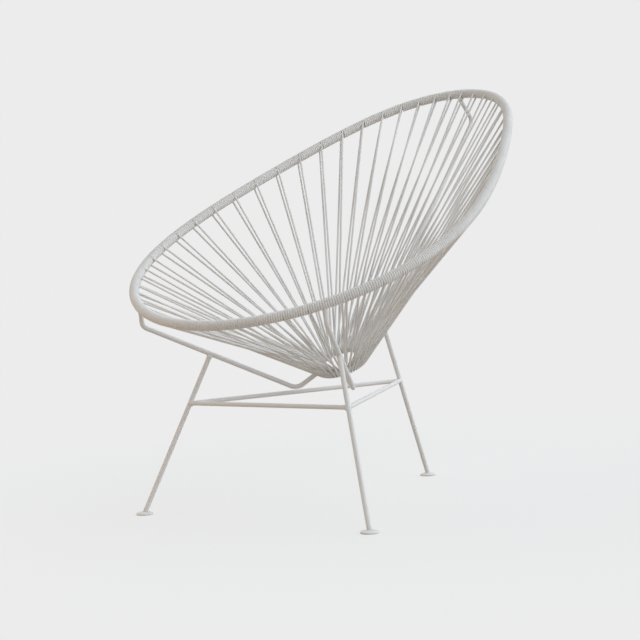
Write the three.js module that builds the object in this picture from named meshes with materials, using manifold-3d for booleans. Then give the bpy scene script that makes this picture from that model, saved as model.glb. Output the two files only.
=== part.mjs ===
// Lounge chair of bent steel rod. One round cord is wound round the hoop and strung to a small
// ring low in the seat. Millimetres, +Z up, the sitter looks along -Y, X = 0 is the mirror plane.
import * as THREE from 'three';
import { mergeVertices } from 'three/addons/utils/BufferGeometryUtils.js';
import Module from 'manifold-3d';

const wasm = await Module();
wasm.setup();

// Hoop: one egg-shaped ring of rod in a plane that rises towards the back
const hoopLength = 1039;
const hoopHalfWidth = 362;
const hoopSideShares = [1, 0.137, 0.022, -0.021];
const hoopIncline = THREE.MathUtils.degToRad(26.7);
const hoopFrontHeight = 395;
const hoopFrontReach = 99;
const hoopRodRadius = 5;
const hoopDivisions = 720;

// Seat ring: parallel to the hoop, at the bottom of the bowl
const seatDepth = 285;
const ringFromFront = 329;
const ringRadius = 52;
const ringRodRadius = 5;

// Cord: wound on the hoop, strung in hairpins that go round the seat ring
const cordRadius = 2.1;
const frontHairpins = 10;
const sideHairpins = 22;
const hairpinHalfSpread = 4.5;
const sideDriftShares = [-0.0141, -0.0415, 0.003, -0.0019];
const sideBay = 38;
const frontBay = 32;
const rearBay = 16;
const windingGroove = 0.8;
const ribsPerLength = 5;
const boreStepsPerLength = 3;
const leastTurnGap = 0.4;

// Ribs: three rods that carry the hoop and the seat ring
const ribRadius = 5;
const frontRibArc = 248;
const frontRibAzimuth = THREE.MathUtils.degToRad(36);
const frontRibDrop = 39;
const frontRibSetback = 3;
const backRibReach = 62;
const backRibDrop = 59;
const frontLowBend = { side: 43, fore: -24, drop: 34 };
const backLowBend = { side: 0, fore: 23, drop: 37 };
const upperBendRadius = 16;
const lowerBendRadius = 24;

// Legs, stretchers and foot discs
const legRadius = 5;
const frontFootHalfSpan = 284;
const rearFootReach = 628;
const frontLegSeatShare = 0.43;
const rearLegSeatShare = 0.83;
const stretcherRadius = 4.5;
const stretcherHeight = 224;
const discRadius = 18;
const discHeight = 6;
const discEdge = 1.8;

// Fits and facets
const clearance = 0.3;
const rodSides = 10;
const hoopSides = 8;
const cordSides = 5;
const bendSteps = 4;
const wrapSteps = 4;
const ringSteps = 24;
const discSteps = 20;
const domeSteps = 3;

const steel = { color: 0xece9e3, roughness: 0.42, metalness: 0.0 };
const plastic = { color: 0xe2dccf, roughness: 0.5, metalness: 0.0 };

// Directions of the hoop's plane
const acrossBowl = new THREE.Vector3(1, 0, 0);
const upSlope = new THREE.Vector3(0, Math.cos(hoopIncline), Math.sin(hoopIncline));
const outOfBowl = acrossBowl.clone().cross(upSlope);
const hoopFront = new THREE.Vector3(0, -hoopFrontReach, hoopFrontHeight);

function inBowl(side, reach, height) {
  return hoopFront.clone()
    .addScaledVector(acrossBowl, side)
    .addScaledVector(upSlope, reach)
    .addScaledVector(outOfBowl, height);
}

class HoopLine extends THREE.Curve {
  getPoint(turn) {
    const angle = 2 * Math.PI * turn;
    const sideShare = hoopSideShares.reduce((sum, share, k) => sum + share * Math.sin((k + 1) * angle), 0);
    return inBowl(hoopHalfWidth * sideShare, hoopLength * (1 - Math.cos(angle)) / 2, 0);
  }
}

const hoopLine = new HoopLine();
hoopLine.arcLengthDivisions = hoopDivisions;
const perimeter = hoopLine.getLength();
const turnShare = (arc) => THREE.MathUtils.euclideanModulo(arc / perimeter, 1);
const hoopPoint = (arc) => hoopLine.getPointAt(turnShare(arc));
const hoopTangent = (arc) => hoopLine.getTangentAt(turnShare(arc));

const ringCentre = inBowl(0, ringFromFront, -seatDepth);
const ringOutward = (azimuth) => acrossBowl.clone().multiplyScalar(Math.sin(azimuth))
  .addScaledVector(upSlope, -Math.cos(azimuth));
const ringPoint = (azimuth) => ringCentre.clone().addScaledVector(ringOutward(azimuth), ringRadius);

// Rings of points and the closed skins between them
function ringAt(point, across, up, radius, sides) {
  return Array.from({ length: sides }, (_, k) => {
    const angle = 2 * Math.PI * (k + 0.5) / sides;
    return point.clone()
      .addScaledVector(across, radius * Math.cos(angle))
      .addScaledVector(up, radius * Math.sin(angle));
  });
}

function skin(rings, closed) {
  const sides = rings[0].length;
  const index = [];
  const at = (i, k) => (i % rings.length) * sides + (k % sides);
  const spans = closed ? rings.length : rings.length - 1;
  for (let i = 0; i < spans; i += 1) {
    for (let k = 0; k < sides; k += 1) {
      index.push(at(i, k), at(i, k + 1), at(i + 1, k + 1));
      index.push(at(i, k), at(i + 1, k + 1), at(i + 1, k));
    }
  }
  return { points: rings.flat(), index, at };
}

function geometryOf(points, index) {
  const geometry = new THREE.BufferGeometry();
  geometry.setAttribute('position', new THREE.Float32BufferAttribute(points.flatMap((p) => p.toArray()), 3));
  geometry.setIndex(index);
  return geometry;
}

function capped(rings) {
  const { points, index, at } = skin(rings, false);
  const last = rings.length - 1;
  for (let k = 1; k < rings[0].length - 1; k += 1) {
    index.push(at(0, 0), at(0, k + 1), at(0, k));
    index.push(at(last, 0), at(last, k), at(last, k + 1));
  }
  return geometryOf(points, index);
}

// A round rod along a chain of points; each ring lies in the plane that halves the bend there
function rod(points, radius, sides) {
  const across = new THREE.Vector3();
  const rings = points.map((point, i) => {
    const arriving = i > 0 ? point.clone().sub(points[i - 1]).normalize() : new THREE.Vector3();
    const leaving = i < points.length - 1 ? points[i + 1].clone().sub(point).normalize() : new THREE.Vector3();
    const along = arriving.add(leaving).normalize();
    if (i === 0) across.copy(Math.abs(along.dot(outOfBowl)) < Math.SQRT1_2 ? outOfBowl : acrossBowl);
    across.addScaledVector(along, -across.dot(along)).normalize();
    return ringAt(point, across, along.clone().cross(across), radius, sides);
  });
  return capped(rings);
}

// Corner points of a bent rod, with each inner corner turned into an arc
function bent(corners, radii) {
  const line = [corners[0]];
  corners.slice(1, -1).forEach((corner, i) => {
    const back = corners[i].clone().sub(corner).normalize();
    const on = corners[i + 2].clone().sub(corner).normalize();
    const half = back.angleTo(on) / 2;
    const bisector = back.clone().add(on).normalize();
    const centre = corner.clone().addScaledVector(bisector, radii[i] / Math.sin(half));
    const start = corner.clone().addScaledVector(back, radii[i] / Math.tan(half)).sub(centre);
    const end = corner.clone().addScaledVector(on, radii[i] / Math.tan(half)).sub(centre);
    const axis = start.clone().cross(end).normalize();
    const swing = start.angleTo(end);
    for (let step = 0; step <= bendSteps; step += 1) {
      line.push(start.clone().applyAxisAngle(axis, swing * step / bendSteps).add(centre));
    }
  });
  line.push(corners.at(-1));
  return line;
}

// Solids: shared vertices are merged before a piece is joined or cut
function solid(geometry) {
  geometry.deleteAttribute('normal');
  geometry.deleteAttribute('uv');
  const merged = mergeVertices(geometry);
  return new wasm.Manifold(new wasm.Mesh({
    numProp: 3,
    vertProperties: new Float32Array(merged.attributes.position.array),
    triVerts: new Uint32Array(merged.index.array),
  }));
}

function meshOf(name, body, finish) {
  const { vertProperties, triVerts } = body.getMesh();
  const geometry = new THREE.BufferGeometry();
  geometry.setAttribute('position', new THREE.Float32BufferAttribute(vertProperties, 3));
  geometry.setIndex(new THREE.Uint32BufferAttribute(triVerts, 1));
  geometry.computeVertexNormals();
  const mesh = new THREE.Mesh(geometry, new THREE.MeshStandardMaterial(finish));
  mesh.name = name;
  return mesh;
}

// Where the hairpins stand on the hoop, by arc length from the front centre, and on the ring
const ribGapAngle = (ribRadius + cordRadius + 2 * clearance) / ringRadius;

function spread(count, from, to) {
  return Array.from({ length: count }, (_, i) => from + (to - from) * i / (count - 1));
}

function sideArcs() {
  const first = frontRibArc + sideBay;
  const last = perimeter / 2 - rearBay;
  return Array.from({ length: sideHairpins }, (_, i) => {
    const share = i / (sideHairpins - 1);
    const drift = sideDriftShares.reduce((sum, part, k) => sum + part * Math.sin((k + 1) * Math.PI * share), 0);
    return first + (last - first) * (share + drift);
  });
}

const sideAzimuths = spread(sideHairpins, frontRibAzimuth + ribGapAngle, Math.PI - ribGapAngle);
const frontArcs = spread(frontHairpins, frontBay - frontRibArc, frontRibArc - frontBay);
const frontAzimuths = spread(frontHairpins, ribGapAngle - frontRibAzimuth, frontRibAzimuth - ribGapAngle);

const sectors = [
  { name: 'cord_right', from: frontRibArc, to: perimeter / 2, arcs: sideArcs(), azimuths: sideAzimuths },
  {
    name: 'cord_left',
    from: perimeter / 2,
    to: perimeter - frontRibArc,
    arcs: sideArcs().map((arc) => perimeter - arc).reverse(),
    azimuths: sideAzimuths.map((azimuth) => -azimuth).reverse(),
  },
  { name: 'cord_front', from: -frontRibArc, to: frontRibArc, arcs: frontArcs, azimuths: frontAzimuths },
];

// A cord length holds two hairpins and the winding from mid-bay to mid-bay beside them
function cordLengths(sector) {
  const count = sector.arcs.length / 2;
  const limit = (i) => (sector.arcs[2 * i - 1] + sector.arcs[2 * i]) / 2;
  return Array.from({ length: count }, (_, i) => ({
    name: `${sector.name}_${String(i + 1).padStart(2, '0')}`,
    from: i === 0 ? sector.from : limit(i),
    to: i === count - 1 ? sector.to : limit(i + 1),
    hairpins: [2 * i, 2 * i + 1].map((k) => ({ arc: sector.arcs[k], azimuth: sector.azimuths[k] })),
  }));
}

const lengths = sectors.flatMap(cordLengths);

// A faceted ring that clears a round of this radius on its flats
const aroundFlats = (radius) => radius / Math.cos(Math.PI / hoopSides);

// Hoop rod: its rings stand where the bore rings of the winding stand
const hoopRing = (arc, radius) => {
  const along = hoopTangent(arc);
  return ringAt(hoopPoint(arc), outOfBowl.clone().cross(along), outOfBowl, radius, hoopSides);
};

function hoop(radius) {
  const arcs = lengths.flatMap(({ from, to }) => Array.from(
    { length: boreStepsPerLength },
    (_, i) => from + (to - from) * i / boreStepsPerLength,
  ));
  const { points, index } = skin(arcs.map((arc) => hoopRing(arc, radius)), true);
  return solid(geometryOf(points, index));
}

function seatRing(radius) {
  const arcs = Array.from({ length: ringSteps }, (_, i) => -2 * Math.PI * i / ringSteps);
  const rings = arcs.map((azimuth) => ringAt(
    ringPoint(azimuth), ringOutward(azimuth), outOfBowl, radius, hoopSides,
  ));
  const { points, index } = skin(rings, true);
  return solid(geometryOf(points, index));
}

// Winding: a ribbed sleeve with its bore on the hoop rod
const boreRadius = aroundFlats(hoopRodRadius + clearance);
const windingRadius = hoopRodRadius + clearance + 2 * cordRadius;

function winding(from, to) {
  const start = from + clearance / 2;
  const end = to - clearance / 2;
  const outerSteps = 2 * ribsPerLength;
  const outer = Array.from({ length: outerSteps + 1 }, (_, i) => hoopRing(
    start + (end - start) * i / outerSteps,
    i % 2 ? windingRadius : windingRadius - windingGroove,
  ));
  const bore = Array.from({ length: boreStepsPerLength + 1 }, (_, i) => hoopRing(
    start + (end - start) * i / boreStepsPerLength,
    boreRadius,
  ));
  const shell = skin(outer, false);
  const lining = skin(bore, false);
  const shift = shell.points.length;
  const index = [...shell.index];
  for (let i = 0; i < lining.index.length; i += 3) {
    index.push(lining.index[i] + shift, lining.index[i + 2] + shift, lining.index[i + 1] + shift);
  }
  for (let k = 0; k < hoopSides; k += 1) {
    const [a, b] = [shell.at(0, k), shell.at(0, k + 1)];
    const [c, d] = [shift + lining.at(0, k), shift + lining.at(0, k + 1)];
    index.push(a, c, b, b, c, d);
    const [e, f] = [shell.at(outerSteps, k), shell.at(outerSteps, k + 1)];
    const [g, h] = [shift + lining.at(boreStepsPerLength, k), shift + lining.at(boreStepsPerLength, k + 1)];
    index.push(e, f, g, f, h, g);
  }
  return solid(geometryOf([...shell.points, ...lining.points], index));
}

// Hairpin: down to the ring over the hoop's face, half a turn round the ring, back from below
const wrapRadius = (ringRodRadius + clearance + cordRadius) / Math.cos(Math.PI / (2 * wrapSteps));
const coilRadius = hoopRodRadius + clearance + cordRadius;

function hairpinLine({ arc, azimuth }) {
  const seat = ringPoint(azimuth);
  const toHoop = hoopPoint(arc).sub(seat);
  const rise = toHoop.dot(outOfBowl);
  const slope = Math.atan2(rise, Math.sqrt(toHoop.lengthSq() - rise * rise));
  const face = hoopTangent(arc).cross(toHoop).normalize();
  face.multiplyScalar(Math.sign(face.dot(outOfBowl)));
  const outward = ringOutward(azimuth);
  const wrap = Array.from({ length: wrapSteps + 1 }, (_, i) => {
    const angle = Math.PI / 2 + slope + Math.PI * i / wrapSteps;
    return seat.clone()
      .addScaledVector(outward, wrapRadius * Math.cos(angle))
      .addScaledVector(outOfBowl, wrapRadius * Math.sin(angle));
  });
  return [
    hoopPoint(arc - hairpinHalfSpread).addScaledVector(face, coilRadius),
    ...wrap,
    hoopPoint(arc + hairpinHalfSpread).addScaledVector(face, -coilRadius),
  ];
}

const hairpin = (place) => solid(rod(hairpinLine(place), cordRadius, cordSides));

// Ribs
function frontRibCorners(sign) {
  const top = hoopPoint(sign * frontRibArc);
  const bottom = ringPoint(sign * frontRibAzimuth);
  const hook = top.clone().add(new THREE.Vector3(0, frontRibSetback, -frontRibDrop));
  const low = new THREE.Vector3(sign * frontLowBend.side, frontLowBend.fore, -frontLowBend.drop).add(bottom);
  return [top, hook, low, bottom];
}

function backRibCorners() {
  const top = hoopPoint(perimeter / 2);
  const bottom = ringPoint(Math.PI);
  const hook = top.clone().add(new THREE.Vector3(0, backRibReach, -backRibDrop));
  const low = new THREE.Vector3(backLowBend.side, backLowBend.fore, -backLowBend.drop).add(bottom);
  return [top, hook, low, bottom];
}

const ribRod = (corners, radius) => solid(rod(bent(corners, [upperBendRadius, lowerBendRadius]), radius, rodSides));

// Legs stand on their discs and end under the ribs
function legEnds(foot, corners, seatShare) {
  const seat = corners[1].clone().lerp(corners[2], seatShare);
  return [foot.clone().setZ(discHeight / 2), seat];
}

function onLeg([foot, seat], height) {
  return foot.clone().lerp(seat, (height - foot.z) / (seat.z - foot.z));
}

function footDisc(foot, growth) {
  const dome = Array.from({ length: domeSteps + 1 }, (_, i) => {
    const angle = Math.PI / 2 * i / domeSteps;
    return new THREE.Vector2(
      (discRadius + growth) * Math.cos(angle),
      discEdge + (discHeight + growth - discEdge) * Math.sin(angle),
    );
  });
  dome[domeSteps].x = 0;
  const profile = [new THREE.Vector2(0, -growth), new THREE.Vector2(discRadius + growth, -growth), ...dome];
  const geometry = new THREE.LatheGeometry(profile, discSteps);
  geometry.rotateX(Math.PI / 2);
  geometry.translate(foot.x, foot.y, 0);
  return solid(geometry);
}

// Assembly
const grownHoop = hoop(aroundFlats(hoopRodRadius + clearance));
const grownRing = seatRing(aroundFlats(ringRodRadius + clearance));
const sides = [{ name: 'front_left', sign: -1 }, { name: 'front_right', sign: 1 }];

const frames = [
  ...sides.map(({ name, sign }) => ({
    name,
    corners: frontRibCorners(sign),
    foot: new THREE.Vector3(sign * frontFootHalfSpan, 0, 0),
    seatShare: frontLegSeatShare,
  })),
  { name: 'rear', corners: backRibCorners(), foot: new THREE.Vector3(0, rearFootReach, 0), seatShare: rearLegSeatShare },
].map((frame) => ({ ...frame, leg: legEnds(frame.foot, frame.corners, frame.seatShare) }));

const chair = new THREE.Group();
const add = (name, body, finish) => chair.add(meshOf(name, body, finish));

add('rim_hoop', hoop(hoopRodRadius), steel);
add('seat_ring', seatRing(ringRodRadius), steel);

frames.forEach(({ name, corners, foot, leg }) => {
  const rib = ribRod(corners, ribRadius).subtract(grownHoop).subtract(grownRing);
  add(`rib_${name}`, rib, steel);
  const legRod = solid(rod(leg, legRadius, rodSides))
    .subtract(ribRod(corners, ribRadius + clearance))
    .subtract(footDisc(foot, clearance));
  add(`leg_${name}`, legRod, steel);
  add(`foot_${name}`, footDisc(foot, 0), steel);
});

// Stretchers join the legs at one height; the side ones are mitred where they meet
const [leftLeg, rightLeg, rearLeg] = frames.map(({ leg }) => leg);
const grownLegs = frames.map(({ leg }) => solid(rod(leg, legRadius + clearance, rodSides)));
const joint = (leg) => onLeg(leg, stretcherHeight);
const stretcher = (a, b, radius) => solid(rod([joint(a), joint(b)], radius, rodSides));
const cutByLegs = (body) => grownLegs.reduce((rest, leg) => rest.subtract(leg), body);
const grownFront = stretcher(leftLeg, rightLeg, stretcherRadius + clearance);

function halfSpace(sign) {
  const size = 2 * frontFootHalfSpan;
  const block = new THREE.BoxGeometry(size, rearFootReach, size);
  block.translate(sign * (clearance / 2 - size / 2), rearFootReach, stretcherHeight);
  return solid(block);
}

add('stretcher_front', cutByLegs(stretcher(leftLeg, rightLeg, stretcherRadius)), steel);
[['stretcher_left', leftLeg, -1], ['stretcher_right', rightLeg, 1]].forEach(([name, leg, sign]) => {
  const side = stretcher(leg, rearLeg, stretcherRadius).subtract(grownFront).subtract(halfSpace(sign));
  add(name, cutByLegs(side), steel);
});

// Cord lengths
const grownRibs = frames.map(({ corners }) => ribRod(corners, ribRadius + clearance));
lengths.forEach(({ name, from, to, hairpins }) => {
  const cord = hairpins.reduce((body, place) => body.add(hairpin(place)), winding(from, to));
  add(name, grownRibs.reduce((body, rib) => body.subtract(rib), cord), plastic);
});

// The least gap between one turn of the cord and the next, round the seat ring
function leastGap() {
  const lines = lengths.flatMap(({ hairpins }) => hairpins.map(hairpinLine));
  const samples = lines.map((line) => {
    const path = new THREE.CurvePath();
    line.slice(1).forEach((point, i) => path.add(new THREE.LineCurve3(line[i], point)));
    return path.getSpacedPoints(Math.ceil(path.getLength() / cordRadius));
  });
  return samples.reduce((least, points, i) => {
    const next = samples[(i + 1) % samples.length];
    const near = (list) => list.filter((point) => point.distanceTo(ringCentre) < 2 * ringRadius);
    const others = near(next);
    return near(points).reduce((gap, point) => others.reduce(
      (smallest, other) => Math.min(smallest, point.distanceTo(other)), gap,
    ), least);
  }, Infinity) - 2 * cordRadius;
}

console.log(`least gap between turns ${leastGap().toFixed(2)} mm, wanted ${leastTurnGap} mm`);

// The origin is the middle of the chair's footprint box, on the floor
const box = new THREE.Box3().setFromObject(chair);
const middle = box.getCenter(new THREE.Vector3());
chair.position.set(-middle.x, -middle.y, -box.min.z);

export default chair;
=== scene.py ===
# %% [markdown]
# # A cord chair on a bent steel frame
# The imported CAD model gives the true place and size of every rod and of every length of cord.
# This lesson dresses it: smooth powder-coated rods with soft weld fillets, and one round plastic
# cord that is wound turn by turn on the hoop and strung in pairs down to the small seat ring.

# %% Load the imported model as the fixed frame
import math

import bpy
import numpy as np
from mathutils import Matrix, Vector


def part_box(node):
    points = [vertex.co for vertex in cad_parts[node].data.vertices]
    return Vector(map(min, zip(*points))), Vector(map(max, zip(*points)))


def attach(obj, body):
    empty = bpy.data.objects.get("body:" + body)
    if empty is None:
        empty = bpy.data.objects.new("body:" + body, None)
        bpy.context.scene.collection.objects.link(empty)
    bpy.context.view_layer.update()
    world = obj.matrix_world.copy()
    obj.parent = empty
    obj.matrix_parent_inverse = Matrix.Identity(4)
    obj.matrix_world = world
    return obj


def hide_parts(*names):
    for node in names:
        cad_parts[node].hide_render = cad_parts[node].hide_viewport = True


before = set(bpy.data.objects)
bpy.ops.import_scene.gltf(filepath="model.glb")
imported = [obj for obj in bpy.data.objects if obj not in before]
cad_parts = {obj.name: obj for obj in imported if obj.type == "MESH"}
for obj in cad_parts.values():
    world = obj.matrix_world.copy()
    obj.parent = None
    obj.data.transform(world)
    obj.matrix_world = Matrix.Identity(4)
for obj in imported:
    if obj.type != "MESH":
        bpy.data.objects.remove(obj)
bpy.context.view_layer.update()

# %% [markdown]
# ## The sizes that everything follows
# The real chair is made from a few numbers: an egg-shaped hoop in one inclined plane, a small
# ring parallel to it, and a cord of one thickness. They are written here once, in millimetres,
# and every piece below is worked out from them, so that the looks sit exactly where the CAD
# solids sit. Left and right are as seen by someone who faces the chair.

# %% Sizes in millimetres
MM = 0.001
HOOP_LENGTH = 1039.0
HOOP_HALF_WIDTH = 362.0
HOOP_SIDE_SHARES = (1.0, 0.137, 0.022, -0.021)
HOOP_INCLINE = math.radians(26.7)
HOOP_FRONT_HEIGHT = 395.0
HOOP_FRONT_REACH = 99.0
ROD_RADIUS = 5.0

SEAT_DEPTH = 285.0
RING_FROM_FRONT = 329.0
RING_RADIUS = 52.0

CORD_RADIUS = 2.1
WOUND_RADIUS = 2.6
CORD_LAY = 0.3
WINDING_PITCH = 4.42
HAIRPIN_HALF_SPREAD = 2.0
FRONT_HAIRPINS = 10
SIDE_HAIRPINS = 22
SIDE_DRIFT_SHARES = (-0.0141, -0.0415, 0.003, -0.0019)
SIDE_BAY = 38.0
FRONT_BAY = 32.0
REAR_BAY = 16.0

FRONT_RIB_ARC = 248.0
FRONT_RIB_AZIMUTH = math.radians(36.0)
FRONT_RIB_HOOK = (0.0, 3.0, 39.0)
FRONT_RIB_LOW = (43.0, -24.0, 34.0)
BACK_RIB_HOOK = (0.0, 62.0, 59.0)
BACK_RIB_LOW = (0.0, 23.0, 37.0)
UPPER_BEND_RADIUS = 16.0
LOWER_BEND_RADIUS = 24.0

FRONT_FOOT_HALF_SPAN = 284.0
REAR_FOOT_REACH = 628.0
FRONT_LEG_SEAT_SHARE = 0.43
REAR_LEG_SEAT_SHARE = 0.83
STRETCHER_RADIUS = 4.5
STRETCHER_HEIGHT = 224.0
DISC_RADIUS = 18.0
DISC_HEIGHT = 6.0
DISC_EDGE = 1.8

foot_low, foot_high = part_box("foot_front_left")
FRONT_FEET_Y = (foot_low.y + foot_high.y) / 2 / MM
print("the front feet stand at y =", round(FRONT_FEET_Y, 2), "mm")

# %% Directions of the hoop's plane, and the points on it
ACROSS = np.array((1.0, 0.0, 0.0))
UP_SLOPE = np.array((0.0, math.cos(HOOP_INCLINE), math.sin(HOOP_INCLINE)))
OUT_OF_BOWL = np.cross(ACROSS, UP_SLOPE)
HOOP_FRONT = np.array((0.0, FRONT_FEET_Y - HOOP_FRONT_REACH, HOOP_FRONT_HEIGHT))
LINE_STEPS = 720
TANGENT_REACH = 0.5


def unit(vector):
    return vector / np.linalg.norm(vector)


def hoop_at(turn):
    angle = 2 * math.pi * np.asarray(turn, float)
    side = sum(share * np.sin((k + 1) * angle) for k, share in enumerate(HOOP_SIDE_SHARES))
    reach = HOOP_LENGTH * (1 - np.cos(angle)) / 2
    return (HOOP_FRONT + np.multiply.outer(HOOP_HALF_WIDTH * side, ACROSS)
            + np.multiply.outer(reach, UP_SLOPE))


TURNS = np.linspace(0, 1, LINE_STEPS + 1)
STEPS = np.linalg.norm(np.diff(hoop_at(TURNS), axis=0), axis=1)
LENGTHS = np.concatenate(([0.0], np.cumsum(STEPS)))
PERIMETER = LENGTHS[-1]


def hoop_point(arc):
    return hoop_at(np.interp(np.mod(arc, PERIMETER), LENGTHS, TURNS))


def hoop_tangent(arc):
    return unit(hoop_point(arc + TANGENT_REACH) - hoop_point(arc - TANGENT_REACH))


print("hoop rod is", round(PERIMETER), "mm round")

# %% Points on the seat ring
RING_CENTRE = HOOP_FRONT + RING_FROM_FRONT * UP_SLOPE - SEAT_DEPTH * OUT_OF_BOWL


def ring_outward(azimuth):
    return ACROSS * math.sin(azimuth) - UP_SLOPE * math.cos(azimuth)


def ring_point(azimuth):
    return RING_CENTRE + RING_RADIUS * ring_outward(azimuth)


print("ring centre", (RING_CENTRE * MM).round(3))

# %% [markdown]
# ## Finishes
# The frame has a white powder coat: satin, with the faint orange peel that the melted powder
# leaves. The cord is soft PVC of a slightly warmer white. Both get their unevenness from noise in
# Object coordinates, so it stays on the piece from every side. The colours are mixed by nodes,
# and what is the same all over, the specular level, is set on the shader itself.

# %% Small helpers for shader nodes
RAMP_START, RAMP_END = 0.3, 0.7


def new_material(name):
    material = bpy.data.materials.new(name)
    material.use_nodes = True
    nodes, links = material.node_tree.nodes, material.node_tree.links
    nodes.clear()
    output = nodes.new("ShaderNodeOutputMaterial")
    shader = nodes.new("ShaderNodeBsdfPrincipled")
    links.new(shader.outputs["BSDF"], output.inputs["Surface"])
    return material, nodes, links, shader


def noise(nodes, links, scale, detail, roughness):
    place = nodes.new("ShaderNodeTexCoord")
    texture = nodes.new("ShaderNodeTexNoise")
    texture.inputs["Scale"].default_value = scale
    texture.inputs["Detail"].default_value = detail
    texture.inputs["Roughness"].default_value = roughness
    links.new(place.outputs["Object"], texture.inputs["Vector"])
    return texture.outputs["Fac"]


def tone(nodes, links, fac, low, high):
    ramp = nodes.new("ShaderNodeValToRGB")
    ramp.color_ramp.elements[0].position = RAMP_START
    ramp.color_ramp.elements[0].color = (*low, 1)
    ramp.color_ramp.elements[1].position = RAMP_END
    ramp.color_ramp.elements[1].color = (*high, 1)
    links.new(fac, ramp.inputs["Fac"])
    return ramp.outputs["Color"]


def spread_to(nodes, links, fac, low, high):
    scaled = nodes.new("ShaderNodeMapRange")
    scaled.inputs["To Min"].default_value = low
    scaled.inputs["To Max"].default_value = high
    links.new(fac, scaled.inputs["Value"])
    return scaled.outputs["Result"]


def bump(nodes, links, shader, height, distance):
    node = nodes.new("ShaderNodeBump")
    node.inputs["Strength"].default_value = 1.0
    node.inputs["Distance"].default_value = distance
    links.new(height, node.inputs["Height"])
    links.new(node.outputs["Normal"], shader.inputs["Normal"])


# %% Powder coat and cord plastic
# A noise is written as its scale, detail and roughness.
COAT_CLOUD, COAT_PEEL = (9.0, 3, 0.5), (900.0, 2, 0.5)
COAT_TONES = ((0.79, 0.787, 0.78), (0.82, 0.817, 0.81))
COAT_ROUGHNESS = (0.42, 0.50)
COAT_PEEL_HEIGHT = 0.02
COAT_SHINE = 0.4
CORD_CLOUD, CORD_GRAIN = (14.0, 4, 0.6), (420.0, 3, 0.55)
CORD_TONES = ((0.772, 0.762, 0.745), (0.812, 0.806, 0.792))
CORD_ROUGHNESS = (0.46, 0.56)
CORD_GRAIN_HEIGHT = 0.006
CORD_SHINE = 0.3


def finish_material(name, cloud_noise, tones, roughness, fine_noise, height, shine):
    material, nodes, links, shader = new_material(name)
    cloud = noise(nodes, links, *cloud_noise)
    links.new(tone(nodes, links, cloud, *tones), shader.inputs["Base Color"])
    links.new(spread_to(nodes, links, cloud, *roughness), shader.inputs["Roughness"])
    bump(nodes, links, shader, noise(nodes, links, *fine_noise), height * MM)
    shader.inputs["Specular IOR Level"].default_value = shine
    return material


powder_coat = finish_material("white_powder_coat", COAT_CLOUD, COAT_TONES, COAT_ROUGHNESS,
                              COAT_PEEL, COAT_PEEL_HEIGHT, COAT_SHINE)
cord_plastic = finish_material("off_white_cord", CORD_CLOUD, CORD_TONES, CORD_ROUGHNESS,
                               CORD_GRAIN, CORD_GRAIN_HEIGHT, CORD_SHINE)
print("materials", [m.name for m in (powder_coat, cord_plastic)])

# %% [markdown]
# ## Rods
# Every rod is a circle carried along a line. A bend in the real rod is an arc of one radius, so
# the corners of the line are rounded first. A welded rod's line runs on to the middle of the rod
# that it meets. The tube widens a little up to that rod's surface, which gives the smooth fillet
# that powder coat leaves on a weld bead, and narrows inside it, so that its end stays hidden.

# %% A bent line and a tube along it
ROD_SIDES = 28
BEND_STEPS = 14
ROD_STEP = 12.0
WELD_REACH = 6.0
WELD_RISE = 1.8
WELD_CURVE = 2.2
WELD_STEPS = 7
BURIED_RADIUS = 3.6
NEARLY_PARALLEL = 0.7
STOP_DECIMALS = 6


def turned(vector, axis, angle):
    cosine, sine = math.cos(angle), math.sin(angle)
    return (vector * cosine + np.cross(axis, vector) * sine
            + axis * np.dot(axis, vector) * (1 - cosine))


def bent(corners, radii):
    line = [corners[0]]
    for before, corner, after, radius in zip(corners, corners[1:], corners[2:], radii):
        back, on = unit(before - corner), unit(after - corner)
        half = math.acos(np.clip(np.dot(back, on), -1, 1)) / 2
        centre = corner + unit(back + on) * radius / math.sin(half)
        start = corner + back * radius / math.tan(half) - centre
        axis = unit(np.cross(start, corner + on * radius / math.tan(half) - centre))
        swing = math.pi - 2 * half
        line += [centre + turned(start, axis, swing * i / BEND_STEPS)
                 for i in range(BEND_STEPS + 1)]
    return line + [corners[-1]]


def along(line, step, weld_depths):
    line = np.array(line, float)
    places = np.concatenate(([0.0], np.cumsum(np.linalg.norm(np.diff(line, axis=0), axis=1))))
    whole = places[-1]
    count = max(2, math.ceil(whole / step)) + 1
    stops = [np.linspace(0, whole, count), places]
    for depth, from_end in zip(weld_depths, (False, True)):
        if depth:
            near = np.concatenate((np.linspace(0, depth, WELD_STEPS),
                                   depth + np.linspace(0, WELD_REACH, WELD_STEPS)))
            stops.append(whole - near if from_end else near)
    stops = np.unique(np.concatenate(stops).round(STOP_DECIMALS))
    points = np.stack([np.interp(stops, places, line[:, k]) for k in range(3)], axis=1)
    return points, stops, whole


def welded(distance, depth, radius):
    """The tube's radius near a weld; the other rod's surface is a depth from the tube's end."""
    if not depth:
        return np.full(len(distance), radius)
    toe = np.clip(1 - (distance - depth) / WELD_REACH, 0, 1)
    outside = radius + WELD_RISE * toe ** WELD_CURVE
    buried = BURIED_RADIUS + (radius + WELD_RISE - BURIED_RADIUS) * distance / depth
    return np.where(distance >= depth, outside, buried)


def surface_depth(way, other_way):
    """How far along a rod the surface of the crossing rod is from that rod's middle line."""
    return ROD_RADIUS / np.linalg.norm(np.cross(unit(way), unit(other_way)))


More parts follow.
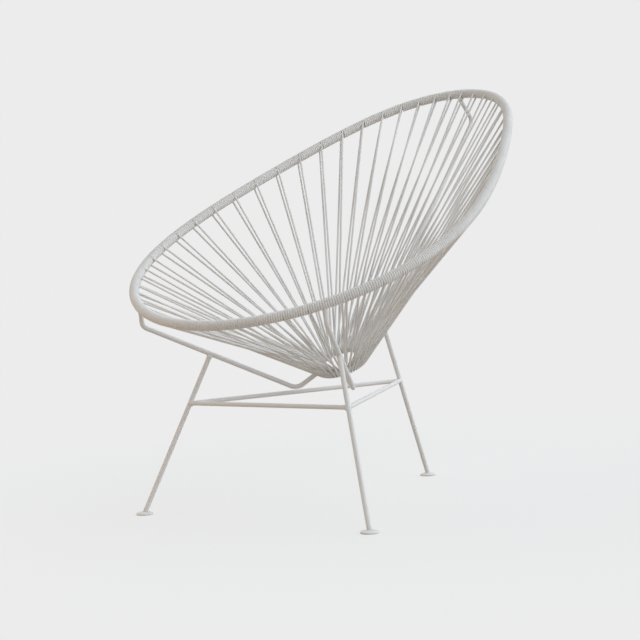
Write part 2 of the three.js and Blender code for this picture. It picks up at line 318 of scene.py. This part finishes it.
def rings_along(points, radii, sides, closed=False):
    ahead = np.roll(points, -1, axis=0) - points
    behind = points - np.roll(points, 1, axis=0)
    if not closed:
        ahead[-1], behind[0] = behind[-1], ahead[0]
    ways = ahead / np.linalg.norm(ahead, axis=1, keepdims=True)
    ways = ways + behind / np.linalg.norm(behind, axis=1, keepdims=True)
    across = OUT_OF_BOWL if abs(unit(ways[0]) @ OUT_OF_BOWL) < NEARLY_PARALLEL else ACROSS
    rings = []
    for point, way, radius in zip(points, ways, radii):
        way = unit(way)
        across = unit(across - way * (across @ way))
        up = np.cross(way, across)
        angles = 2 * math.pi * np.arange(sides) / sides
        circle = np.outer(np.cos(angles), across) + np.outer(np.sin(angles), up)
        rings.append(point + radius * circle)
    return np.concatenate(rings)


def mesh_piece(name, points, faces, material, nodes_replaced):
    mesh = bpy.data.meshes.new(name)
    mesh.from_pydata((np.asarray(points) * MM).tolist(), [], faces)
    mesh.materials.append(material)
    mesh.shade_smooth()
    piece = bpy.data.objects.new(name, mesh)
    bpy.context.scene.collection.objects.link(piece)
    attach(piece, "root")
    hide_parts(*nodes_replaced)
    return piece


def skin(count, sides, closed):
    faces = []
    for i in range(count if closed else count - 1):
        for k in range(sides):
            a, b = i * sides + k, i * sides + (k + 1) % sides
            c, d = ((i + 1) % count) * sides + (k + 1) % sides, ((i + 1) % count) * sides + k
            faces.append((a, b, c, d))
    if not closed:
        faces.append(tuple(reversed(range(sides))))
        faces.append(tuple(range((count - 1) * sides, count * sides)))
    return faces


def rod_piece(name, line, radius, node, weld_depths=(0.0, 0.0)):
    points, stops, whole = along(line, ROD_STEP, weld_depths)
    start, end = (welded(far, depth, radius)
                  for far, depth in zip((stops, whole - stops), weld_depths))
    radii = np.where(stops < whole / 2, start, end)
    shell, faces = rings_along(points, radii, ROD_SIDES), skin(len(points), ROD_SIDES, False)
    print(name, "is", round(whole), "mm long")
    return mesh_piece(name, shell, faces, powder_coat, [node])


# %% [markdown]
# ### The hoop rod and the seat ring
# Both are closed loops of the same 10 mm rod. The hoop rod hides under the cord, and shows only
# in the narrow notches where a strand leaves. The ring shows between the cord's half turns.

# %% Hoop rod and seat ring
HOOP_RINGS = 360
RING_RINGS = 120


def loop_piece(name, points, node):
    shell = rings_along(points, np.full(len(points), ROD_RADIUS), ROD_SIDES, closed=True)
    return mesh_piece(name, shell, skin(len(points), ROD_SIDES, True), powder_coat, [node])


loop_piece("hoop_rod", hoop_point(np.arange(HOOP_RINGS) * PERIMETER / HOOP_RINGS), "rim_hoop")
loop_piece(
    "ring_rod",
    np.array([ring_point(2 * math.pi * i / RING_RINGS) for i in range(RING_RINGS)]),
    "seat_ring",
)
print("closed loops made")

# %% [markdown]
# ### Ribs, legs and stretchers
# Three ribs hang from the hoop on a short hook, run straight outside the cord and turn up to the
# ring. A leg is welded under each rib, and three stretchers tie the legs together at one height.
# A rod's end runs into the rod that it is welded to, as the weld does.

# %% Corners of the ribs and ends of the legs
def front_rib(sign):
    top, bottom = hoop_point(sign * FRONT_RIB_ARC), ring_point(sign * FRONT_RIB_AZIMUTH)
    hook = top + np.array((sign * FRONT_RIB_HOOK[0], FRONT_RIB_HOOK[1], -FRONT_RIB_HOOK[2]))
    low = bottom + np.array((sign * FRONT_RIB_LOW[0], FRONT_RIB_LOW[1], -FRONT_RIB_LOW[2]))
    return [top, hook, low, bottom]


def back_rib():
    top, bottom = hoop_point(PERIMETER / 2), ring_point(math.pi)
    hook = top + np.array((BACK_RIB_HOOK[0], BACK_RIB_HOOK[1], -BACK_RIB_HOOK[2]))
    low = bottom + np.array((BACK_RIB_LOW[0], BACK_RIB_LOW[1], -BACK_RIB_LOW[2]))
    return [top, hook, low, bottom]


SUPPORTS = {
    "front_left": (front_rib(-1), (-FRONT_FOOT_HALF_SPAN, FRONT_FEET_Y), FRONT_LEG_SEAT_SHARE),
    "front_right": (front_rib(1), (FRONT_FOOT_HALF_SPAN, FRONT_FEET_Y), FRONT_LEG_SEAT_SHARE),
    "rear": (back_rib(), (0.0, FRONT_FEET_Y + REAR_FOOT_REACH), REAR_LEG_SEAT_SHARE),
}
legs = {}
for place, (corners, spot, share) in SUPPORTS.items():
    rib_line = bent(corners, (UPPER_BEND_RADIUS, LOWER_BEND_RADIUS))
    rod_piece(f"rib_rod_{place}", rib_line, ROD_RADIUS, f"rib_{place}")
    foot = np.array((*spot, DISC_HEIGHT / 2))
    seat = corners[1] + (corners[2] - corners[1]) * share
    legs[place] = (foot, seat)
    depth = surface_depth(seat - foot, corners[2] - corners[1])
    rod_piece(f"leg_rod_{place}", [foot, seat], ROD_RADIUS, f"leg_{place}", (0.0, depth))


# %% Stretchers between the legs
def on_leg(place, height):
    foot, seat = legs[place]
    return foot + (seat - foot) * (height - foot[2]) / (seat[2] - foot[2])


for name, start, end in (
    ("front", "front_left", "front_right"),
    ("left", "front_left", "rear"),
    ("right", "front_right", "rear"),
):
    a, b = on_leg(start, STRETCHER_HEIGHT), on_leg(end, STRETCHER_HEIGHT)
    depths = [surface_depth(b - a, legs[place][1] - legs[place][0]) for place in (start, end)]
    rod_piece(f"stretcher_rod_{name}", [a, b], STRETCHER_RADIUS, f"stretcher_{name}", depths)

# %% [markdown]
# ### Foot discs
# Each leg stands on a low domed disc. It is turned about its own axis, so a profile and a spin
# make it: flat below, a small rounded edge, and a dome that runs up into the leg.

# %% Foot discs by turning a profile
DISC_SIDES = 64
DOME_STEPS = 12
EDGE_ROUND = 0.7


def disc_profile():
    edge = [(0.0, 0.0), (DISC_RADIUS - EDGE_ROUND, 0.0), (DISC_RADIUS, EDGE_ROUND),
            (DISC_RADIUS, DISC_EDGE)]
    dome = []
    for i in range(1, DOME_STEPS + 1):
        angle = math.pi / 2 * i / DOME_STEPS
        dome.append((DISC_RADIUS * math.cos(angle),
                     DISC_EDGE + (DISC_HEIGHT - DISC_EDGE) * math.sin(angle)))
    return edge + dome[:-1], dome[-1][1]


def foot_piece(place, spot):
    profile, top = disc_profile()
    points, faces = [(*spot, 0.0), (*spot, top)], []
    for radius, height in profile[1:]:
        for k in range(DISC_SIDES):
            angle = 2 * math.pi * k / DISC_SIDES
            points.append((spot[0] + radius * math.cos(angle),
                           spot[1] + radius * math.sin(angle), height))
    rows = len(profile) - 1
    at = lambda row, k: 2 + row * DISC_SIDES + k % DISC_SIDES
    for k in range(DISC_SIDES):
        faces.append((0, at(0, k + 1), at(0, k)))
        faces.append((1, at(rows - 1, k), at(rows - 1, k + 1)))
        for row in range(rows - 1):
            faces.append((at(row, k), at(row, k + 1), at(row + 1, k + 1), at(row + 1, k)))
    return mesh_piece(f"foot_disc_{place}", points, faces, powder_coat, [f"foot_{place}"])


for place, (_, spot, _) in SUPPORTS.items():
    foot_piece(place, spot)
print("three foot discs turned")

# %% [markdown]
# ## The cord's route
# One cord makes the whole seat. It is wound on the hoop for a bay of some eleven turns, leaves
# over the hoop's face, goes down to the ring, half round it and back up, meets the hoop from
# below and is wound on. So the two strands of a pair cross on their way. The route is stored as
# points with five values: the two directions across the hoop, how many turns the cord has made so
# far, whether the point is on the hoop (1) or on a free strand (0), and how thick the cord is
# there. The turns press against each other, which closes the gaps between them, so the wound cord
# is drawn a little thicker than the free one.

# %% Where the pairs of strands stand
RIB_GAP_ANGLE = (ROD_RADIUS + CORD_RADIUS + 2 * CORD_LAY) / RING_RADIUS
COIL_RADIUS = ROD_RADIUS + CORD_LAY + WOUND_RADIUS
WRAP_RADIUS = ROD_RADIUS + CORD_LAY + CORD_RADIUS


def side_arcs():
    first, last = FRONT_RIB_ARC + SIDE_BAY, PERIMETER / 2 - REAR_BAY
    shares = np.linspace(0, 1, SIDE_HAIRPINS)
    drift = sum(part * np.sin((k + 1) * math.pi * shares)
                for k, part in enumerate(SIDE_DRIFT_SHARES))
    return first + (last - first) * (shares + drift)


side_azimuths = np.linspace(FRONT_RIB_AZIMUTH + RIB_GAP_ANGLE, math.pi - RIB_GAP_ANGLE,
                            SIDE_HAIRPINS)
front_azimuths = np.linspace(RIB_GAP_ANGLE - FRONT_RIB_AZIMUTH, FRONT_RIB_AZIMUTH - RIB_GAP_ANGLE,
                             FRONT_HAIRPINS)
front_arcs = PERIMETER + np.linspace(FRONT_BAY - FRONT_RIB_ARC, FRONT_RIB_ARC - FRONT_BAY,
                                     FRONT_HAIRPINS)

SECTORS = (
    ("right", FRONT_RIB_ARC, PERIMETER / 2, side_arcs(), side_azimuths),
    ("left", PERIMETER / 2, PERIMETER - FRONT_RIB_ARC, (PERIMETER - side_arcs())[::-1],
     -side_azimuths[::-1]),
    ("front", PERIMETER - FRONT_RIB_ARC, PERIMETER + FRONT_RIB_ARC, front_arcs, front_azimuths),
)
arcs = np.concatenate([sector[3] for sector in SECTORS])
azimuths = np.concatenate([sector[4] for sector in SECTORS])
COUNT = len(arcs)
print(COUNT, "pairs of strands")


def station(k):
    laps, i = divmod(k, COUNT)
    return arcs[i] + laps * PERIMETER, azimuths[i]


def face_at(k):
    arc, azimuth = station(k)
    to_hoop = hoop_point(arc) - ring_point(azimuth)
    face = unit(np.cross(hoop_tangent(arc), to_hoop))
    return face * math.copysign(1, face @ OUT_OF_BOWL)


# %% Winding between two pairs, and one pair of strands
HALF_TURN = 0.5
HALF_BAY = 0.5
TURN_STEPS = 16
WRAP_STEPS = 12
CROSSING_REACH = 3.5
DOWN_SHARES = (0.02, 0.35, 0.7)
BACK_SHARES = (0.3, 0.65, 0.98)
EASE_ANGLE = math.radians(70)
FULL_AFTER_TURNS = 0.3
ROUNDING = 1e-9
SLACK_WAVES = ((0.10, 29.0), (0.07, 17.3), (0.05, 11.1))
OUTER_LEAN = HAIRPIN_HALF_SPREAD - WINDING_PITCH / 4
INNER_LEAN = 2.0
CROSSING_ANGLE = CROSSING_REACH / RING_RADIUS


def slack(arc):
    return sum(size * math.sin(2 * math.pi * arc / wave) for size, wave in SLACK_WAVES)


def bay(k):
    start, end = station(k)[0] + HAIRPIN_HALF_SPREAD, station(k + 1)[0] - HAIRPIN_HALF_SPREAD
    return start, end, max(1, round((end - start) / WINDING_PITCH + HALF_TURN))


def ease(angle, slant):
    share = np.clip(1 - abs(angle) / EASE_ANGLE, 0, 1)
    return slant * angle * share ** 2


def closing_lean(turn):
    inward = math.sin(2 * math.pi * turn)
    return INNER_LEAN * inward if inward > 0 else -OUTER_LEAN * inward


def thickness(turns_from_strand):
    """The cord's thickness next to a strand, as a multiple of the free cord's."""
    share = np.clip(turns_from_strand / FULL_AFTER_TURNS, 0, 1)
    return 1 + (WOUND_RADIUS / CORD_RADIUS - 1) * share


def slant_at(k):
    arc, azimuth = station(k)
    strand, tangent = ring_point(azimuth) - hoop_point(arc), hoop_tangent(arc)
    lengthwise = strand @ tangent
    return COIL_RADIUS * lengthwise / math.sqrt(strand @ strand - lengthwise ** 2)


def wound(k, from_share, to_share):
    start, end, last = bay(k)
    steps = np.arange((last - HALF_TURN) * TURN_STEPS + 1)
    turns = HALF_TURN + steps / TURN_STEPS
    share = steps / steps[-1]
    keep = (share >= from_share - ROUNDING) & (share <= to_share + ROUNDING)
    rows = []
    face_a, face_b = face_at(k), face_at(k + 1)
    for turn, part in zip(turns[keep], share[keep]):
        arc = start + (end - start) * part
        arc += slack(arc) * math.sin(math.pi * part)
        arc += closing_lean(turn) * (2 * part - 1)
        arc += ease(2 * math.pi * (turn - last), slant_at(k + 1))
        arc -= ease(2 * math.pi * (turn - HALF_TURN), slant_at(k))
        tangent = hoop_tangent(arc)
        face = face_a + (face_b - face_a) * part
        face = unit(face - tangent * (face @ tangent))
        thick = thickness(min(turn - HALF_TURN, last - turn))
        rows.append((hoop_point(arc), face, np.cross(face, tangent), turn, 1.0, thick))
    return rows


def hairpin(k):
    arc, azimuth = station(k)
    face = face_at(k)
    to_hoop = hoop_point(arc) - ring_point(azimuth)
    rise = to_hoop @ OUT_OF_BOWL
    slope = math.atan2(rise, math.sqrt(to_hoop @ to_hoop - rise * rise))
    top = hoop_point(arc - HAIRPIN_HALF_SPREAD) + face * COIL_RADIUS
    under = hoop_point(arc + HAIRPIN_HALF_SPREAD) - face * COIL_RADIUS
    wrap = []
    for part in np.linspace(0, 1, WRAP_STEPS + 1):
        there = azimuth + CROSSING_ANGLE * (2 * part - 1)
        angle = 3 * math.pi / 2 + slope - math.pi * part
        wrap.append(ring_point(there) + WRAP_RADIUS * (
            ring_outward(there) * math.cos(angle) + OUT_OF_BOWL * math.sin(angle)))
    still = (np.zeros(3), np.zeros(3), 0.0, 0.0, 1.0)
    inner = [(point, *still) for point in wrap]
    down = [(top + (wrap[0] - top) * s, *still) for s in DOWN_SHARES]
    back = [(wrap[-1] + (under - wrap[-1]) * s, *still) for s in BACK_SHARES]
    return down + inner + back


def cord_route(first, count):
    """The route of one length of cord: half a bay, a pair, a bay, a pair, half a bay."""
    rows = wound(first - 1, HALF_BAY, 1.0)
    for k in range(first, first + count):
        rows += hairpin(k)
        rows += wound(k, 0.0, HALF_BAY if k == first + count - 1 else 1.0)
    return rows


print("turns in the first bays:", [bay(k)[2] for k in range(6)])

# %% [markdown]
# ## A node tree that winds the cord
# The rule for a wound cord is short: a point on the hoop moves out by the coil's radius, in a
# direction that turns as the turn count rises. Geometry Nodes apply that rule to every point of
# the route, make a curve of the points, and carry a circle along it. The same tree strings the
# free strands, because their points do not move out. It ends in Realize Instances and Set
# Material, so a plain mesh is left.

# %% Build the tree
def cord_tree():
    tree = bpy.data.node_groups.new("wind_and_string_cord", "GeometryNodeTree")
    socket = tree.interface.new_socket
    socket("Route", in_out="INPUT", socket_type="NodeSocketGeometry")
    socket("Coil Radius", in_out="INPUT", socket_type="NodeSocketFloat")
    socket("Cord Radius", in_out="INPUT", socket_type="NodeSocketFloat")
    socket("Cord Sides", in_out="INPUT", socket_type="NodeSocketInt")
    socket("Finish", in_out="INPUT", socket_type="NodeSocketMaterial")
    socket("Cord", in_out="OUTPUT", socket_type="NodeSocketGeometry")
    nodes, links = tree.nodes, tree.links
    source, result = nodes.new("NodeGroupInput"), nodes.new("NodeGroupOutput")

    def stored(name, kind):
        node = nodes.new("GeometryNodeInputNamedAttribute")
        node.data_type = kind
        node.inputs["Name"].default_value = name
        return node.outputs["Attribute"]

    def math_node(operation, first, second=None):
        node = nodes.new("ShaderNodeMath")
        node.operation = operation
        links.new(first, node.inputs[0])
        if isinstance(second, float):
            node.inputs[1].default_value = second
        elif second is not None:
            links.new(second, node.inputs[1])
        return node.outputs[0]

    def scaled(vector, factor):
        node = nodes.new("ShaderNodeVectorMath")
        node.operation = "SCALE"
        links.new(vector, node.inputs[0])
        links.new(factor, node.inputs["Scale"])
        return node.outputs["Vector"]

    angle = math_node("MULTIPLY", stored("turn", "FLOAT"), 2 * math.pi)
    towards_face = scaled(stored("face", "FLOAT_VECTOR"), math_node("COSINE", angle))
    towards_ring = scaled(stored("inward", "FLOAT_VECTOR"), math_node("SINE", angle))
    both = nodes.new("ShaderNodeVectorMath")
    links.new(towards_face, both.inputs[0])
    links.new(towards_ring, both.inputs[1])
    reach = math_node("MULTIPLY", stored("on_hoop", "FLOAT"), source.outputs["Coil Radius"])
    move = nodes.new("GeometryNodeSetPosition")
    links.new(source.outputs["Route"], move.inputs["Geometry"])
    links.new(scaled(both.outputs["Vector"], reach), move.inputs["Offset"])

    line = nodes.new("GeometryNodeMeshToCurve")
    circle = nodes.new("GeometryNodeCurvePrimitiveCircle")
    sweep = nodes.new("GeometryNodeCurveToMesh")
    smooth = nodes.new("GeometryNodeSetShadeSmooth")
    real = nodes.new("GeometryNodeRealizeInstances")
    finish = nodes.new("GeometryNodeSetMaterial")
    sweep.inputs["Fill Caps"].default_value = True
    links.new(move.outputs["Geometry"], line.inputs["Mesh"])
    links.new(line.outputs["Curve"], sweep.inputs["Curve"])
    links.new(source.outputs["Cord Sides"], circle.inputs["Resolution"])
    links.new(source.outputs["Cord Radius"], circle.inputs["Radius"])
    links.new(circle.outputs["Curve"], sweep.inputs["Profile Curve"])
    links.new(stored("thick", "FLOAT"), sweep.inputs["Scale"])
    links.new(sweep.outputs["Mesh"], smooth.inputs["Geometry"])
    links.new(smooth.outputs["Geometry"], real.inputs["Geometry"])
    links.new(real.outputs["Geometry"], finish.inputs["Geometry"])
    links.new(source.outputs["Finish"], finish.inputs["Material"])
    links.new(finish.outputs["Geometry"], result.inputs["Cord"])
    return tree


TREE = cord_tree()
INPUTS = {item.name: item.identifier
          for item in TREE.interface.items_tree if item.in_out == "INPUT"}
print("tree inputs", sorted(INPUTS))

# %% Make each length of cord
CORD_SIDES = 10
PAIRS_PER_LENGTH = 2


def cord_piece(name, rows, node):
    mesh = bpy.data.meshes.new(name)
    points = np.array([row[0] for row in rows]) * MM
    mesh.from_pydata(points.tolist(), [(i, i + 1) for i in range(len(rows) - 1)], [])
    for column, label in ((1, "face"), (2, "inward")):
        values = np.array([row[column] for row in rows], np.float32).ravel()
        mesh.attributes.new(label, "FLOAT_VECTOR", "POINT").data.foreach_set("vector", values)
    for column, label in ((3, "turn"), (4, "on_hoop"), (5, "thick")):
        values = np.array([row[column] for row in rows], np.float32)
        mesh.attributes.new(label, "FLOAT", "POINT").data.foreach_set("value", values)
    piece = bpy.data.objects.new(name, mesh)
    bpy.context.scene.collection.objects.link(piece)
    modifier = piece.modifiers.new("cord", "NODES")
    modifier.node_group = TREE
    modifier[INPUTS["Coil Radius"]] = COIL_RADIUS * MM
    modifier[INPUTS["Cord Radius"]] = CORD_RADIUS * MM
    modifier[INPUTS["Cord Sides"]] = CORD_SIDES
    modifier[INPUTS["Finish"]] = cord_plastic
    graph = bpy.context.evaluated_depsgraph_get()
    made = bpy.data.meshes.new_from_object(piece.evaluated_get(graph), depsgraph=graph)
    piece.modifiers.clear()
    piece.data = made
    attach(piece, "root")
    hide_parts(node)
    return piece


def laid(row):
    point, face, inward, turn, on_hoop, _ = row
    angle = 2 * math.pi * turn
    return point + on_hoop * COIL_RADIUS * (face * math.cos(angle) + inward * math.sin(angle))


total_faces = 0
total_length = 0.0
first = 0
for sector, _, _, sector_arcs, _ in SECTORS:
    for i in range(len(sector_arcs) // PAIRS_PER_LENGTH):
        name = f"{sector}_{i + 1:02d}"
        rows = cord_route(first, PAIRS_PER_LENGTH)
        piece = cord_piece(f"cord_run_{name}", rows, f"cord_{name}")
        total_length += np.linalg.norm(np.diff([laid(row) for row in rows], axis=0), axis=1).sum()
        total_faces += len(piece.data.polygons)
        first += PAIRS_PER_LENGTH
print("cord faces", total_faces, "and cord length", round(total_length * MM, 1), "m")

# %% [markdown]
# ## Floor, backdrop and light
# The chair stands on a plain pale floor that fades into a flat pale backdrop. The world itself is
# the main light: three very wide soft glows, on the window side at the right, behind the chair
# and on the left, over a weak even light. A small warm lamp near the front left foot adds the
# tint that the room gives there. Light that bounces off the floor meets a wooden tone, as in that
# room; camera, glossy and transmission rays see the pale floor.

# %% World
BACKDROP = (0.8388, 0.8388, 0.8388)
EVEN_LIGHT = (0.075, 0.068, 0.055)
SOFT_GLOWS = (
    ((0.9493, -0.0558, 0.3095), (1.60, 1.69, 1.79)),
    ((0.2685, 0.8661, 0.4217), (1.28, 1.42, 1.56)),
    ((-0.8641, -0.0256, 0.5026), (1.26, 1.23, 1.17)),
)
GLOW_FALLOFF = 3.0


def seen_rays(nodes, links):
    path = nodes.new("ShaderNodeLightPath")
    fac = path.outputs["Is Camera Ray"]
    for ray in ("Is Glossy Ray", "Is Transmission Ray"):
        either = nodes.new("ShaderNodeMath")
        either.operation = "MAXIMUM"
        links.new(fac, either.inputs[0])
        links.new(path.outputs[ray], either.inputs[1])
        fac = either.outputs[0]
    return fac


world = bpy.data.worlds.new("soft_surroundings")
bpy.context.scene.world = world
world.use_nodes = True
nodes, links = world.node_tree.nodes, world.node_tree.links
nodes.clear()
out = nodes.new("ShaderNodeOutputWorld")
mix = nodes.new("ShaderNodeMixShader")
sky_way = nodes.new("ShaderNodeTexCoord")


def background(colour):
    node = nodes.new("ShaderNodeBackground")
    node.inputs["Color"].default_value = (*colour, 1)
    return node


def soft_glow(way, colour):
    facing = nodes.new("ShaderNodeVectorMath")
    facing.operation = "DOT_PRODUCT"
    links.new(sky_way.outputs["Generated"], facing.inputs[0])
    facing.inputs[1].default_value = way
    value = facing.outputs["Value"]
    for operation, number in (("MAXIMUM", 0.0), ("POWER", GLOW_FALLOFF)):
        step = nodes.new("ShaderNodeMath")
        step.operation = operation
        links.new(value, step.inputs[0])
        step.inputs[1].default_value = number
        value = step.outputs[0]
    node = background([part / max(colour) for part in colour])
    level = nodes.new("ShaderNodeMath")
    level.operation = "MULTIPLY"
    links.new(value, level.inputs[0])
    level.inputs[1].default_value = max(colour)
    links.new(level.outputs[0], node.inputs["Strength"])
    return node.outputs["Background"]


lit = background(EVEN_LIGHT).outputs["Background"]
for way, colour in SOFT_GLOWS:
    added = nodes.new("ShaderNodeAddShader")
    links.new(lit, added.inputs[0])
    links.new(soft_glow(way, colour), added.inputs[1])
    lit = added.outputs["Shader"]
links.new(seen_rays(nodes, links), mix.inputs["Fac"])
links.new(lit, mix.inputs[1])
links.new(background(BACKDROP).outputs["Background"], mix.inputs[2])
links.new(mix.outputs["Shader"], out.inputs["Surface"])
print("world with", len(SOFT_GLOWS), "soft glows")

# %% Floor
FLOOR_HALF = 6.0
FADE_FROM, FADE_TO = 0.55, 1.5
PALE_FLOOR = (0.9, 0.9, 0.9)
WOOD_FLOOR = (0.46, 0.395, 0.335)
PALE_GLOW_SHARE = 0.7
NEAR_GLOW = 0.845
floor_mesh = bpy.data.meshes.new("floor")
floor_mesh.from_pydata(
    [(-FLOOR_HALF, -FLOOR_HALF, 0), (FLOOR_HALF, -FLOOR_HALF, 0), (FLOOR_HALF, FLOOR_HALF, 0),
     (-FLOOR_HALF, FLOOR_HALF, 0)], [], [(0, 1, 2, 3)])
floor = bpy.data.objects.new("floor", floor_mesh)
bpy.context.scene.collection.objects.link(floor)

floor_finish = bpy.data.materials.new("pale_floor")
floor_finish.use_nodes = True
nodes, links = floor_finish.node_tree.nodes, floor_finish.node_tree.links
nodes.clear()
out = nodes.new("ShaderNodeOutputMaterial")
place = nodes.new("ShaderNodeTexCoord")
far = nodes.new("ShaderNodeVectorMath")
far.operation = "LENGTH"
links.new(place.outputs["Object"], far.inputs[0])
fade = nodes.new("ShaderNodeMapRange")
fade.interpolation_type = "SMOOTHSTEP"
fade.inputs["From Min"].default_value = FADE_FROM
fade.inputs["From Max"].default_value = FADE_TO
links.new(far.outputs["Value"], fade.inputs["Value"])


def matt(colour):
    node = nodes.new("ShaderNodeBsdfDiffuse")
    node.inputs["Color"].default_value = (*colour, 1)
    return node.outputs["BSDF"]


def glow(level):
    node = nodes.new("ShaderNodeEmission")
    node.inputs["Color"].default_value = (level, level, level, 1)
    return node.outputs["Emission"]


def blend(fac, first, second):
    node = nodes.new("ShaderNodeMixShader")
    if isinstance(fac, float):
        node.inputs["Fac"].default_value = fac
    else:
        links.new(fac, node.inputs["Fac"])
    links.new(first, node.inputs[1])
    links.new(second, node.inputs[2])
    return node.outputs["Shader"]


pale = blend(PALE_GLOW_SHARE, matt(PALE_FLOOR), glow(NEAR_GLOW))
pale = blend(fade.outputs["Result"], pale, glow(BACKDROP[0]))
links.new(blend(seen_rays(nodes, links), matt(WOOD_FLOOR), pale), out.inputs["Surface"])
floor_mesh.materials.append(floor_finish)
print("floor and backdrop ready")

# %% Warm lamp near the front left foot
WARM_PLACE = (-0.8, -1.45, 0.2)
WARM_AIM = (-0.1, -0.35, 0.35)
WARM_COLOUR = (1.0, 0.66, 0.4)
WARM_WATTS = 3.0
WARM_SIZE = 0.8

warm = bpy.data.lights.new("warm_room_lamp", "AREA")
warm.energy, warm.size, warm.color = WARM_WATTS, WARM_SIZE, WARM_COLOUR
lamp = bpy.data.objects.new("warm_room_lamp", warm)
bpy.context.scene.collection.objects.link(lamp)
away = unit(np.array(WARM_PLACE) - np.array(WARM_AIM))
level = unit(np.cross((0.0, 0.0, 1.0), away))
matrix = np.eye(4)
for column, axis in enumerate((level, np.cross(away, level), away, WARM_PLACE)):
    matrix[:3, column] = axis
lamp.matrix_world = Matrix(matrix.tolist())
print("warm lamp at", WARM_PLACE, "m")

# %% [markdown]
# ## Camera
# The camera's place, turn and lens come from fitting the chair's rods to the photographed ones:
# it stands low, to the sitter's left front, some 3.4 m away, with a long lens and a slight roll.

# %% Camera at the photograph's angle
CAMERA_PLACE = (2072.1, -2470.0, 564.6)
YAW, PITCH, ROLL = 0.64989, 0.054156, 0.053492
LENS, SENSOR = 93.36, 36.0

camera_data = bpy.data.cameras.new("camera")
camera_data.lens = LENS
camera_data.sensor_width = SENSOR
camera = bpy.data.objects.new("camera", camera_data)
bpy.context.scene.collection.objects.link(camera)
forward = np.array((-math.sin(YAW) * math.cos(PITCH), math.cos(YAW) * math.cos(PITCH),
                    -math.sin(PITCH)))
level = np.array((math.cos(YAW), math.sin(YAW), 0.0))
upright = np.cross(level, forward)
matrix = np.eye(4)
matrix[:3, 0] = math.cos(ROLL) * level - math.sin(ROLL) * upright
matrix[:3, 1] = math.sin(ROLL) * level + math.cos(ROLL) * upright
matrix[:3, 2] = -forward
matrix[:3, 3] = (np.array(CAMERA_PLACE) + np.array((0.0, FRONT_FEET_Y, 0.0))) * MM
camera.matrix_world = Matrix(matrix.tolist())
bpy.context.scene.camera = camera
bpy.context.scene.view_settings.view_transform = "Standard"
print("camera at", matrix[:3, 3].round(3))
